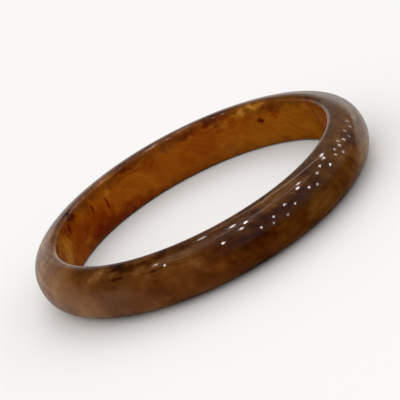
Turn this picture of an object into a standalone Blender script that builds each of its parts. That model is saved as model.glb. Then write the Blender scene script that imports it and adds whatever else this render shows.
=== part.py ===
"""A bangle ground from one piece of stone, lying on its side.

Metres, +Z up. The origin is on the surface that the bangle lies on, under the
middle of the hoop, and +Z is the hoop's own axis. The section is a D: a flat
bore against the wrist, small rounded edges, a narrow flat land on each side
where it was lapped, and a domed crown outside.
"""

import math

import bmesh
import bpy
from mathutils import Vector

# Driving sizes, each measured on the finished bangle
INNER_DIAMETER = 0.0580
WALL = 0.0062
BAND_WIDTH = 0.0102
EDGE_ROUND = 0.0008
SIDE_LAND = 0.0008
CROWN_POWER = 2.1  # 2 is an ellipse, and more is squarer in the shoulders

# How finely the round shapes are divided
SEGMENTS = 128
CROWN_STEPS = 10
EDGE_STEPS = 3
SMOOTH_UNDER = math.radians(30)

# The stone's finish
STONE_COLOUR = (0.16, 0.065, 0.02, 1.0)
STONE_ROUGHNESS = 0.12
STONE_IOR = 1.54


def clear_scene():
    """Removes whatever the file came with."""
    for obj in list(bpy.data.objects):
        bpy.data.objects.remove(obj)


def upper_half_section():
    """(radius, height above the middle) from the bore's rim out to the crown."""
    half_width = BAND_WIDTH / 2
    edge_centre = INNER_DIAMETER / 2 + EDGE_ROUND
    crown_start = edge_centre + SIDE_LAND
    crown_depth = INNER_DIAMETER / 2 + WALL - crown_start
    points = []

    # Rounded edge, a quarter circle from the bore up onto the side
    for step in range(EDGE_STEPS + 1):
        angle = math.pi - math.pi / 2 * step / EDGE_STEPS
        radius = edge_centre + EDGE_ROUND * math.cos(angle)
        points.append((radius, half_width - EDGE_ROUND * (1 - math.sin(angle))))

    # Domed crown, from the end of the flat land down to the widest line
    for step in range(CROWN_STEPS + 1):
        angle = math.pi / 2 * (1 - step / CROWN_STEPS)
        out = max(math.cos(angle), 0.0) ** (2 / CROWN_POWER)
        up = math.sin(angle) ** (2 / CROWN_POWER)
        points.append((crown_start + crown_depth * out, half_width * up))
    return points


def section():
    """The whole D as a closed run of (radius, height) points, lying on height 0."""
    upper = upper_half_section()
    lower = [(radius, -height) for radius, height in reversed(upper[:-1])]
    return [(radius, height + BAND_WIDTH / 2) for radius, height in upper + lower]


def hoop_mesh(name):
    """The section spun once round the hoop's axis."""
    shape = bmesh.new()
    corners = [shape.verts.new((radius, 0, height)) for radius, height in section()]
    sides = [shape.edges.new(pair) for pair in zip(corners, corners[1:] + corners[:1])]
    bmesh.ops.spin(
        shape,
        geom=corners + sides,
        cent=Vector((0, 0, 0)),
        axis=Vector((0, 0, 1)),
        angle=2 * math.pi,
        steps=SEGMENTS,
        use_merge=True,
    )
    bmesh.ops.recalc_face_normals(shape, faces=shape.faces)
    mesh = bpy.data.meshes.new(name)
    shape.to_mesh(mesh)
    shape.free()
    mesh.shade_smooth()
    mesh.set_sharp_from_angle(angle=SMOOTH_UNDER)
    return mesh


def polished_stone():
    """Brown translucent stone with a glassy polish."""
    material = bpy.data.materials.new("polished_stone")
    material.use_nodes = True
    shader = material.node_tree.nodes["Principled BSDF"]
    shader.inputs["Base Color"].default_value = STONE_COLOUR
    shader.inputs["Roughness"].default_value = STONE_ROUGHNESS
    shader.inputs["Metallic"].default_value = 0.0
    shader.inputs["IOR"].default_value = STONE_IOR
    return material


def build_hoop():
    """The bangle: one solid, with nothing joined to it."""
    hoop = bpy.data.objects.new("stone_hoop", hoop_mesh("stone_hoop"))
    hoop.data.materials.append(polished_stone())
    bpy.context.scene.collection.objects.link(hoop)
    return hoop


def main():
    clear_scene()
    build_hoop()


main()
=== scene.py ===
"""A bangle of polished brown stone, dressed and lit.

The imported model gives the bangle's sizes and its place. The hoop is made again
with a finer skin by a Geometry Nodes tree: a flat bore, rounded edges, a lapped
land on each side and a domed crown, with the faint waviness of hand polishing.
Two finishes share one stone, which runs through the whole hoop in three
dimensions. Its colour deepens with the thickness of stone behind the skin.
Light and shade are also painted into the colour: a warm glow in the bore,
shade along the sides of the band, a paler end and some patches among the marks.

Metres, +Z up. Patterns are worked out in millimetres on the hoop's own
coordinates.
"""

import logging
import math
from dataclasses import dataclass, field
from enum import Enum

import bpy
from mathutils import Matrix, Vector


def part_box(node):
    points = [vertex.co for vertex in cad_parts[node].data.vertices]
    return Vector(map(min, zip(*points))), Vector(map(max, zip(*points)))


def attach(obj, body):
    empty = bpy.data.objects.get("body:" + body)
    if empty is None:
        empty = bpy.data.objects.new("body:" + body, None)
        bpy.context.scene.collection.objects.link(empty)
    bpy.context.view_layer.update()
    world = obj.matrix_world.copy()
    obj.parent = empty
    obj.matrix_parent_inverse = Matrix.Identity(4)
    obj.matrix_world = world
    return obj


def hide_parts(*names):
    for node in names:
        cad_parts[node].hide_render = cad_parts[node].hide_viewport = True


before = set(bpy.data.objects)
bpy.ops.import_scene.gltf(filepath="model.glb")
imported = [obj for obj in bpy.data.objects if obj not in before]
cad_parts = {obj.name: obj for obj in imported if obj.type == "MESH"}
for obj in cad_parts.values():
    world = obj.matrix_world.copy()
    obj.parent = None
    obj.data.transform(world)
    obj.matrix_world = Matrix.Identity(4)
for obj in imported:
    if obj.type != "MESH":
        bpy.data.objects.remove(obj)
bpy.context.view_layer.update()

MM = 0.001
HOOP_NODE = "stone_hoop"
ACROSS_FIELD = "across"
DEPTH_FIELD = "stone_depth"
BAKE_MAP = "OFBake"
HALF_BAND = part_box(HOOP_NODE)[1][2] / 2

Colour = tuple[float, float, float]
Socket = bpy.types.NodeSocket
Sockets = dict[str, Socket]
Feed = float | int | bool | str | tuple | Vector | Socket | bpy.types.Material

log = logging.getLogger("bangle")


def rgba(colour: Colour) -> tuple[float, float, float, float]:
    """Returns a linear colour with full alpha."""
    return (*colour, 1.0)


class Wiring:
    """Adds nodes to one tree and joins them up."""

    def __init__(self, tree: bpy.types.NodeTree) -> None:
        """Takes the tree to work on.

        Args:
            tree: The shader or geometry tree that the nodes go into.
        """
        self.tree = tree

    def node(
        self, kind: str, feeds: dict[str | int, Feed] | None = None, **settings: object
    ) -> bpy.types.Node:
        """Adds a node.

        Args:
            kind: Blender's name for the type of node.
            feeds: A value or a socket for each input, by the input's name or number.
            settings: The node's own properties.

        Returns:
            The new node.
        """
        made = self.tree.nodes.new(kind)
        for name, value in settings.items():
            setattr(made, name, value)
        for key, value in (feeds or {}).items():
            self.feed(self.socket(made.inputs, key), value)
        return made

    @staticmethod
    def socket(sockets: bpy.types.bpy_prop_collection, key: str | int) -> Socket:
        """Finds a socket.

        Args:
            sockets: A node's inputs or outputs.
            key: The socket's number, or the name of the one that is in use.

        Returns:
            The socket.
        """
        if isinstance(key, int):
            return sockets[key]
        return next(each for each in sockets if each.name == key and each.enabled)

    def feed(self, socket: Socket, value: Feed) -> None:
        """Links a socket to another, or sets its value.

        Args:
            socket: The input to feed.
            value: Another node's output, or a plain value.
        """
        if isinstance(value, Socket):
            self.tree.links.new(value, socket)
        else:
            socket.default_value = value

    def math(self, operation: str, *values: Feed, clamp: bool = False) -> Socket:
        """Adds a Math node.

        Args:
            operation: What it does.
            values: Its inputs, in order.
            clamp: Whether the result is held between 0 and 1.

        Returns:
            The result.
        """
        feeds = dict(enumerate(values))
        return self.node("ShaderNodeMath", feeds, operation=operation, use_clamp=clamp).outputs[0]

    def vector(self, operation: str, *values: Feed, scale: Feed | None = None) -> Socket:
        """Adds a Vector Math node.

        Args:
            operation: What it does.
            values: Its vectors, in order.
            scale: The factor, for the operation that takes one.

        Returns:
            The result, which is a number for a length or a dot product.
        """
        feeds: dict[str | int, Feed] = dict(enumerate(values))
        if scale is not None:
            feeds["Scale"] = scale
        made = self.node("ShaderNodeVectorMath", feeds, operation=operation)
        return self.socket(made.outputs, "Value" if operation in ("LENGTH", "DOT_PRODUCT") else "Vector")

    def ramp(
        self, value: Feed, start: Feed, end: Feed, low: Feed = 0.0, high: Feed = 1.0, smooth: bool = True
    ) -> Socket:
        """Carries a value from one range to another, held at both ends.

        Args:
            value: The value.
            start: Where the result is low.
            end: Where the result is high.
            low: The result at the start and before it.
            high: The result at the end and beyond it.
            smooth: Whether it eases in and out.

        Returns:
            The result.
        """
        feeds = {0: value, 1: start, 2: end, 3: low, 4: high}
        kind = "SMOOTHSTEP" if smooth else "LINEAR"
        return self.node("ShaderNodeMapRange", feeds, interpolation_type=kind, clamp=True).outputs[0]

    def blend(self, factor: Feed, first: Feed, second: Feed) -> Socket:
        """Mixes one colour into another.

        Args:
            factor: How much of the second colour there is, from 0 to 1.
            first: The colour at 0.
            second: The colour at 1.

        Returns:
            The mixed colour.
        """
        feeds = {0: factor, 6: first, 7: second}
        return self.node("ShaderNodeMix", feeds, data_type="RGBA", blend_type="MIX").outputs[2]

    def lumps(self, place: Feed, grain: Feed, detail: float, rough: float) -> bpy.types.Node:
        """Adds a Noise node.

        Args:
            place: Where it is read, in millimetres.
            grain: The size of one lump, in millimetres.
            detail: How many finer layers it has.
            rough: How strong the finer layers are.

        Returns:
            The node, whose first output is a value and whose second is a colour.
        """
        scale = self.math("DIVIDE", 1.0, grain)
        feeds = {"Vector": place, "Scale": scale, "Detail": detail, "Roughness": rough}
        return self.node("ShaderNodeTexNoise", feeds)

    def noise(self, place: Feed, grain: Feed, detail: float = 2.0, rough: float = 0.5) -> Socket:
        """Returns a noise value that is 0.5 on average, as in lumps."""
        return self.lumps(place, grain, detail, rough).outputs[0]

    def stray(self, place: Feed, grain: Feed, detail: float = 2.0, rough: float = 0.5) -> Socket:
        """Returns a noise vector that wanders round zero, as in lumps."""
        colour = self.lumps(place, grain, detail, rough).outputs[1]
        return self.vector("SUBTRACT", colour, (0.5, 0.5, 0.5))


class ShaderGroup:
    """A shader node group with named inputs and outputs, made once and placed in each material."""

    title = "Group"
    inputs: dict[str, float | Colour] = {}
    outputs: tuple[str, ...] = ()

    @classmethod
    def tree(cls) -> bpy.types.NodeTree:
        """Makes the group the first time that it is asked for.

        Returns:
            The group.
        """
        made = bpy.data.node_groups.get(cls.title)
        if made is None:
            made = bpy.data.node_groups.new(cls.title, "ShaderNodeTree")
            made.interface.new_socket(name="Place", in_out="INPUT", socket_type="NodeSocketVector")
            for name, value in cls.inputs.items():
                kind = "NodeSocketColor" if isinstance(value, tuple) else "NodeSocketFloat"
                socket = made.interface.new_socket(name=name, in_out="INPUT", socket_type=kind)
                socket.default_value = rgba(value) if isinstance(value, tuple) else value
            for name in cls.outputs:
                kind = "NodeSocketColor" if name == "Colour" else "NodeSocketFloat"
                made.interface.new_socket(name=name, in_out="OUTPUT", socket_type=kind)
            wiring = Wiring(made)
            entry = wiring.node("NodeGroupInput")
            results = cls.fill(wiring, {socket.name: socket for socket in entry.outputs if socket.name})
            wiring.node("NodeGroupOutput", dict(results))
        return made

    @classmethod
    def fill(cls, wiring: Wiring, given: Sockets) -> Sockets:
        """Builds the inside of the group.

        Args:
            wiring: The group's own tree.
            given: The group's inputs by name.

        Returns:
            What each output gets, by name.
        """
        raise NotImplementedError

    @classmethod
    def place(cls, wiring: Wiring, place: Socket, **values: Feed) -> bpy.types.Node:
        """Adds the group to a material.

        Args:
            wiring: The material's tree.
            place: Where on the stone it is read, in millimetres.
            values: The inputs by name, with _ for a space.

        Returns:
            The group's node.
        """
        node = wiring.node("ShaderNodeGroup", node_tree=cls.tree())
        wiring.feed(node.inputs["Place"], place)
        for name, value in values.items():
            plain = rgba(value) if isinstance(value, tuple) and len(value) == 3 else value
            wiring.feed(node.inputs[name.replace("_", " ").capitalize()], plain)
        return node


class SmokyFigure(ShaderGroup):
    """The stone's own figure of drifting smoke, faint agate layers and upright veils, plus painted shade
    and light.
    """

    title = "Smoky figure"
    inputs = {
        "Cloud size": 15.0,
        "Layer size": 1.6,
        "Layer strength": 0.05,
        "Veil strength": 0.2,
        "Spread": 0.5,
        "Rim shade": 0.4,
        "Streak strength": 0.1,
    }
    outputs = ("Density", "Honey", "Pale", "Shade", "Olive")

    # Grains and reaches are in millimetres, and a pair is where an effect starts and where it is full
    cloud_shown = (0.3, 0.7)
    mottle_share = 0.22
    layer_way = (0.52, 0.31, 0.8)
    layer_patch = 21.0
    layer_shown = (0.48, 0.66)
    veil_squeeze = (1.0, 1.0, 0.3)
    veil_grain = 3.4
    veil_width = 0.11
    veil_patch = 17.0
    veil_shown = (0.5, 0.62)
    pale_way = (-0.996, -0.09, 0.0)
    pale_reach = (24.0, 35.5)
    pale_clears_shade = 0.8
    pale_calms = 0.75
    lower_side_shade = 0.75
    shade_edge_squeeze = (1.0, 1.0, 0.5)
    shade_edge_grain = 2.6
    shade_edge_stray = 7.0
    shade_reach = (1.9, 4.6)
    streak_squeeze = (0.11, 0.11, 1.1)
    streak_shown = (0.36, 0.64)
    streak_patch = 12.0
    streak_patch_shown = (0.42, 0.6)
    streak_rise = 3.5
    streak_low = 0.3
    honey_grain = 9.0
    honey_shown = (0.56, 0.74)
    olive_shift = (31.0, 7.0, 0.0)
    olive_grain = 17.0
    olive_shown = (0.42, 0.6)
    olive_patches = 0.5
    olive_reach = (-4.0, -26.0)
    olive_end = 0.9

    @classmethod
    def fill(cls, wiring: Wiring, given: Sockets) -> Sockets:
        """Builds the group, as in ShaderGroup."""
        place = given["Place"]
        drift = wiring.stray(place, given["Cloud size"])
        bent = wiring.vector("ADD", place, wiring.vector("SCALE", drift, scale=given["Cloud size"]))

        cloud = wiring.noise(bent, given["Cloud size"], detail=5.0, rough=0.58)
        cloud = wiring.ramp(cloud, *cls.cloud_shown)
        mottle_size = wiring.math("MULTIPLY", given["Cloud size"], cls.mottle_share)
        mottle = wiring.math("SUBTRACT", wiring.noise(bent, mottle_size, detail=4.0), 0.5)

        # Layers, which show only where the smoke is thin
        slant = wiring.vector("DOT_PRODUCT", bent, cls.layer_way)
        phase = wiring.math("DIVIDE", slant, given["Layer size"])
        layers = wiring.math("SINE", wiring.math("MULTIPLY", phase, 2 * math.pi))
        shown = wiring.ramp(wiring.noise(bent, cls.layer_patch, detail=1.0), *cls.layer_shown)
        layers = wiring.math("MULTIPLY", wiring.math("MULTIPLY", layers, shown), given["Layer strength"])

        # Veils, which stand nearly upright across the band
        drawn = wiring.vector("MULTIPLY", bent, cls.veil_squeeze)
        veil = wiring.noise(drawn, cls.veil_grain, detail=3.0, rough=0.6)
        veil = wiring.math("ABSOLUTE", wiring.math("SUBTRACT", veil, 0.5))
        veil = wiring.ramp(veil, 0.0, cls.veil_width, 1.0, 0.0)
        curtains = wiring.ramp(wiring.noise(place, cls.veil_patch, detail=1.0), *cls.veil_shown)
        veil = wiring.math("MULTIPLY", wiring.math("MULTIPLY", veil, curtains), given["Veil strength"])

        # Painted light: one end is paler and clearer, standing in for light scattered through the stone
        along = wiring.vector("DOT_PRODUCT", bent, cls.pale_way)
        pale = wiring.ramp(along, *cls.pale_reach)
        dull = wiring.math("MULTIPLY_ADD", pale, -cls.pale_clears_shade, 1.0)
        uneven = wiring.math("MULTIPLY_ADD", pale, -cls.pale_calms, 1.0)
        spread = wiring.math("MULTIPLY", given["Spread"], uneven)

        # Painted shade along the sides of the band, more along the upper one, its edge ragged in wisps
        height = wiring.node("ShaderNodeSeparateXYZ", {0: place}).outputs[2]
        middle = wiring.math("SUBTRACT", height, HALF_BAND / MM)
        middle = wiring.math("MAXIMUM", middle, wiring.math("MULTIPLY", middle, -cls.lower_side_shade))
        squeezed = wiring.vector("MULTIPLY", bent, cls.shade_edge_squeeze)
        ragged = wiring.noise(squeezed, cls.shade_edge_grain, detail=4.0, rough=0.6)
        middle = wiring.math("MULTIPLY_ADD", wiring.math("SUBTRACT", ragged, 0.5), cls.shade_edge_stray, middle)
        shade = wiring.math("MULTIPLY", wiring.ramp(middle, *cls.shade_reach), given["Rim shade"])
        shade = wiring.math("MULTIPLY", shade, dull)

        density = wiring.math("MULTIPLY_ADD", wiring.math("SUBTRACT", cloud, 0.5), spread, 1.0)
        density = wiring.math("MULTIPLY_ADD", mottle, spread, density)
        density = wiring.math("ADD", wiring.math("ADD", density, layers), veil)

        # Fine streaks along the hoop, where it was sawn with the layers
        radius = wiring.vector("LENGTH", wiring.vector("MULTIPLY", place, (1.0, 1.0, 0.0)))
        stretched = wiring.vector("MULTIPLY", bent, cls.streak_squeeze)
        outward = wiring.math("MULTIPLY", radius, cls.streak_squeeze[2])
        streaks = wiring.node(
            "ShaderNodeTexNoise",
            {"Vector": stretched, "W": outward, "Scale": 1.0, "Detail": 3.0},
            noise_dimensions="4D",
        ).outputs[0]
        streaks = wiring.ramp(streaks, *cls.streak_shown, -1.0, 1.0)
        patches = wiring.ramp(wiring.noise(place, cls.streak_patch), *cls.streak_patch_shown)
        streaks = wiring.math("MULTIPLY", streaks, patches)
        upper = wiring.ramp(height, HALF_BAND / MM, HALF_BAND / MM + cls.streak_rise, cls.streak_low, 1.0)
        streaks = wiring.math("MULTIPLY", streaks, upper)
        density = wiring.math("MULTIPLY_ADD", streaks, given["Streak strength"], density)

        honey = wiring.noise(bent, cls.honey_grain, detail=4.0, rough=0.6)
        honey = wiring.ramp(honey, *cls.honey_shown)
        olive = wiring.noise(wiring.vector("ADD", bent, cls.olive_shift), cls.olive_grain, detail=3.0)
        olive = wiring.math("MULTIPLY", wiring.ramp(olive, *cls.olive_shown), cls.olive_patches)
        olive = wiring.math("MULTIPLY_ADD", wiring.ramp(along, *cls.olive_reach), cls.olive_end, olive)
        return {"Density": density, "Honey": honey, "Pale": pale, "Shade": shade, "Olive": olive}


class MossFlecks(ShaderGroup):
    """Small dark specks of moss or iron, sparse and uneven."""

    title = "Moss flecks"
    inputs = {"Spacing": 6.0, "Share": 0.3, "Size": 0.5}
    outputs = ("Mask",)

    ragged_grain = 0.7
    ragged_reach = 0.9
    sizes = (0.35, 1.3)
    core_share = 0.35

    @classmethod
    def fill(cls, wiring: Wiring, given: Sockets) -> Sockets:
        """Builds the group, as in ShaderGroup."""
        ragged = wiring.stray(given["Place"], cls.ragged_grain, detail=3.0)
        place = wiring.vector("ADD", given["Place"], wiring.vector("SCALE", ragged, scale=cls.ragged_reach))
        scale = wiring.math("DIVIDE", 1.0, given["Spacing"])
        cells = wiring.node("ShaderNodeTexVoronoi", {"Vector": place, "Scale": scale})
        reach = wiring.math("MULTIPLY", cells.outputs["Distance"], given["Spacing"])
        pick = wiring.node("ShaderNodeSeparateColor", {0: cells.outputs["Color"]})
        wanted = wiring.math("LESS_THAN", pick.outputs[0], given["Share"])
        size = wiring.ramp(pick.outputs[1], 0.0, 1.0, *cls.sizes, smooth=False)
        radius = wiring.math("MULTIPLY", given["Size"], size)
        inside = wiring.ramp(reach, radius, wiring.math("MULTIPLY", radius, cls.core_share))
        return {"Mask": wiring.math("MULTIPLY", inside, wanted)}


class HealedCracks(ShaderGroup):
    """Hairline cracks that the stone has closed again, seen only in places."""

    title = "Healed cracks"
    inputs = {"Spacing": 14.0, "Width": 0.12}
    outputs = ("Mask",)

    wander_grain = 6.0
    wander_reach = 5.0
    patch = 8.0
    shown = (0.54, 0.62)

    @classmethod
    def fill(cls, wiring: Wiring, given: Sockets) -> Sockets:
        """Builds the group, as in ShaderGroup."""
        wander = wiring.stray(given["Place"], cls.wander_grain, detail=4.0)
        place = wiring.vector("ADD", given["Place"], wiring.vector("SCALE", wander, scale=cls.wander_reach))
        scale = wiring.math("DIVIDE", 1.0, given["Spacing"])
        feeds = {"Vector": place, "Scale": scale}
        cells = wiring.node("ShaderNodeTexVoronoi", feeds, feature="DISTANCE_TO_EDGE")
        gap = wiring.math("MULTIPLY", cells.outputs["Distance"], given["Spacing"])
        line = wiring.ramp(gap, 0.0, given["Width"], 1.0, 0.0)
        shown = wiring.ramp(wiring.noise(given["Place"], cls.patch, detail=1.0), *cls.shown)
        return {"Mask": wiring.math("MULTIPLY", line, shown)}


class DepthColour(ShaderGroup):
    """What is left of white light after it has gone through the stone behind the skin."""

    title = "Depth colour"
    inputs = {
        "Depth": 6.0,
        "Density": 1.0,
        "Per mm": (0.6, 0.5, 0.4),
        "Extra depth": 0.0,
        "Shade per mm": 0.9,
    }
    outputs = ("Colour",)

    @classmethod
    def fill(cls, wiring: Wiring, given: Sockets) -> Sockets:
        """Builds the group, as in ShaderGroup."""
        path = wiring.math("MULTIPLY", given["Depth"], given["Density"])
        parts = wiring.node("ShaderNodeSeparateColor", {0: given["Per mm"]})
        shade = wiring.math("POWER", given["Shade per mm"], given["Extra depth"])
        left = [wiring.math("MULTIPLY", wiring.math("POWER", part, path), shade) for part in parts.outputs]
        return {"Colour": wiring.node("ShaderNodeCombineColor", dict(enumerate(left))).outputs[0]}


class PolishMarks(ShaderGroup):
    """What polishing and wear leave: lines round the hoop, stray hairlines, pits, waviness and smears."""

    title = "Polish marks"
    inputs = {"Line width": 0.12, "Hairline share": 0.5, "Pit spacing": 1.6}
    outputs = ("Lines", "Hairlines", "Pits", "Waves", "Smears")

    line_stretch = 0.16
    hairline_squeeze = (0.12, 2.6, 2.6)
    hairline_width = 0.012
    hairline_patch = 4.0
    hairline_limits = (0.75, 0.45)
    hairline_turns = ((0.3, 0.5, 0.9), (1.1, 2.2, 0.4))
    pit_radii = (0.04, 0.13)
    pit_floor = 0.4
    pit_share = 0.16
    wave_grain = 1.9
    smear_grain = 7.0
    smear_shown = (0.46, 0.68)

    @classmethod
    def hairlines(
        cls, wiring: Wiring, place: Feed, turn: tuple[float, float, float], share: Feed
    ) -> Socket:
        """Returns stray straight hairlines that run one way.

        Args:
            wiring: The group's tree.
            place: Where they are read, in millimetres.
            turn: How the direction is turned, in radians about each axis.
            share: From 0, none, to 1, many.

        Returns:
            A mask, 1 on a hairline.
        """
        feeds = {"Vector": place, "Rotation": turn, "Scale": cls.hairline_squeeze}
        turned = wiring.node("ShaderNodeMapping", feeds)
        strands = wiring.noise(turned.outputs[0], 1.0, detail=1.0)
        near = wiring.math("ABSOLUTE", wiring.math("SUBTRACT", strands, 0.5))
        thin = wiring.ramp(near, 0.0, cls.hairline_width, 1.0, 0.0)
        breaks = wiring.noise(place, cls.hairline_patch)
        limit = wiring.ramp(share, 0.0, 1.0, *cls.hairline_limits, smooth=False)
        return wiring.math("MULTIPLY", thin, wiring.math("GREATER_THAN", breaks, limit))

    @classmethod
    def fill(cls, wiring: Wiring, given: Sockets) -> Sockets:
        """Builds the group, as in ShaderGroup."""
        place = given["Place"]
        parts = wiring.node("ShaderNodeSeparateXYZ", {0: place})
        across = wiring.vector("MULTIPLY", place, (1.0, 1.0, 0.0))
        radius = wiring.vector("LENGTH", across)

        # Lines that run round the hoop: fine along Z and the radius, long along the turn
        fine = wiring.math("DIVIDE", 1.0, given["Line width"])
        spread = wiring.node("ShaderNodeCombineXYZ", {
            0: wiring.math("MULTIPLY", parts.outputs[0], cls.line_stretch),
            1: wiring.math("MULTIPLY", parts.outputs[1], cls.line_stretch),
            2: wiring.math("MULTIPLY", parts.outputs[2], fine),
        }).outputs[0]
        outward = wiring.math("MULTIPLY", radius, fine)
        lines = wiring.node(
            "ShaderNodeTexNoise",
            {"Vector": spread, "W": outward, "Scale": 1.0, "Detail": 2.0},
            noise_dimensions="4D",
        ).outputs[0]

        share = given["Hairline share"]
        first, second = (cls.hairlines(wiring, place, turn, share) for turn in cls.hairline_turns)
        hairlines = wiring.math("MAXIMUM", first, second)

        scale = wiring.math("DIVIDE", 1.0, given["Pit spacing"])
        cells = wiring.node("ShaderNodeTexVoronoi", {"Vector": place, "Scale": scale})
        reach = wiring.math("MULTIPLY", cells.outputs["Distance"], given["Pit spacing"])
        pick = wiring.node("ShaderNodeSeparateColor", {0: cells.outputs["Color"]})
        wide = wiring.ramp(pick.outputs[1], 0.0, 1.0, *cls.pit_radii, smooth=False)
        pits = wiring.ramp(reach, wide, wiring.math("MULTIPLY", wide, cls.pit_floor))
        pits = wiring.math("MULTIPLY", pits, wiring.math("LESS_THAN", pick.outputs[0], cls.pit_share))

        waves = wiring.noise(place, cls.wave_grain, detail=1.0)
        smears = wiring.noise(place, cls.smear_grain, detail=3.0, rough=0.65)
        smears = wiring.ramp(smears, *cls.smear_shown)
        return {"Lines": lines, "Hairlines": hairlines, "Pits": pits, "Waves": waves, "Smears": smears}


class Zone(Enum):
    """The two zones of the hoop that are polished differently."""

    CROWN = "crown_polish"
    BORE = "bore_polish"


@dataclass(frozen=True)
class Mark:
    """One spot, wisp or clearing in the stone, or a patch of painted light or shade.

    The clock is in degrees from the near side towards the right, and the height is
    above the middle of the band. Lengths are in millimetres. A change above 0 makes
    the stone denser and darker there. Ragged is how far the edge strays, in sizes.
    """

    clock: float
    height: float
    size: float
    tall: float
    change: float
    radius: float = 29.2
    ragged: float = 2.5
    core: float = 0.1

    def centre(self) -> Vector:
        """Works out where the mark's middle is.

        Returns:
            Its place in the hoop, in millimetres.
        """
        turn = math.radians(self.clock)
        level = HALF_BAND / MM + self.height
        return Vector((self.radius * math.sin(turn), -self.radius * math.cos(turn), level))

    def mask(self, wiring: Wiring, place: Socket, stray: Socket) -> Socket:
        """Adds the mark to a material.

        Args:
            wiring: The material's tree.
            place: Where on the stone it is read, in millimetres.
            stray: How far its edge strays there, from -0.5 to 0.5 each way.

        Returns:
            A mask, 1 in the middle of the mark.
        """
        squeeze = Vector((1.0, 1.0, 1.0 / self.tall))
        near = wiring.vector("MULTIPLY_ADD", place, tuple(squeeze), tuple(-self.centre() * squeeze))
        reach = self.size * self.ragged
        near = wiring.vector("MULTIPLY_ADD", stray, (reach, reach, reach), near)
        return wiring.ramp(wiring.vector("LENGTH", near), self.size, self.core * self.size)


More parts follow.
